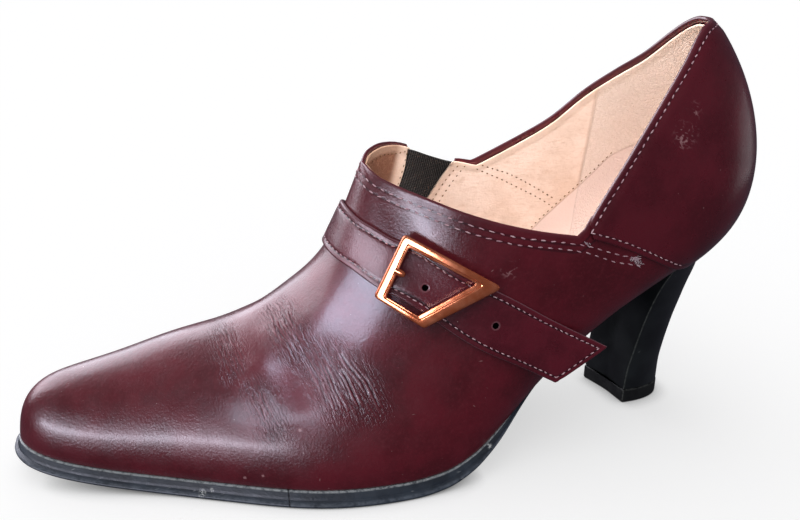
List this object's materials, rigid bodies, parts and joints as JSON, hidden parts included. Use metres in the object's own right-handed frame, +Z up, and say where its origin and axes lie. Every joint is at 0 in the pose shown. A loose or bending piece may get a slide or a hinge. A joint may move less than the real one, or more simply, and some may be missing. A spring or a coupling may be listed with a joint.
{
  "type": "high heel shoe",
  "caption": "Closed high heel shoe for the left foot: hollow leather upper with slanted collar, instep strap through a trapezoid buckle, arched sole and tapered heel.",
  "frame": {"origin": "on the floor under the ball of the foot, at the middle of the flat tread", "axes": "+X from toe to heel, -Y the outer side with the buckle, +Z up"},
  "size_m": [0.2571, 0.0874, 0.1388],
  "materials": {
    "upper": "smooth glossy oxblood leather, creased at the ball",
    "back_quarter": "smooth glossy oxblood leather",
    "gore": "black ribbed elastic",
    "strap": "smooth oxblood leather with pale edge stitching",
    "insole": "pale matt sock leather",
    "outsole": "dark blue-grey rubber, scuffed at the edge",
    "heel": "black lacquer",
    "heel_lift": "matt black rubber",
    "buckle": "polished rose copper plating"
  },
  "bodies": {
    "root": {"upper": "upper", "back_quarter": "back_quarter", "gore": "gore", "strap": "strap", "insole": "insole", "outsole": "outsole", "heel": "heel", "heel_lift": "heel_lift", "buckle": "buckle"}
  },
  "joints": []
}
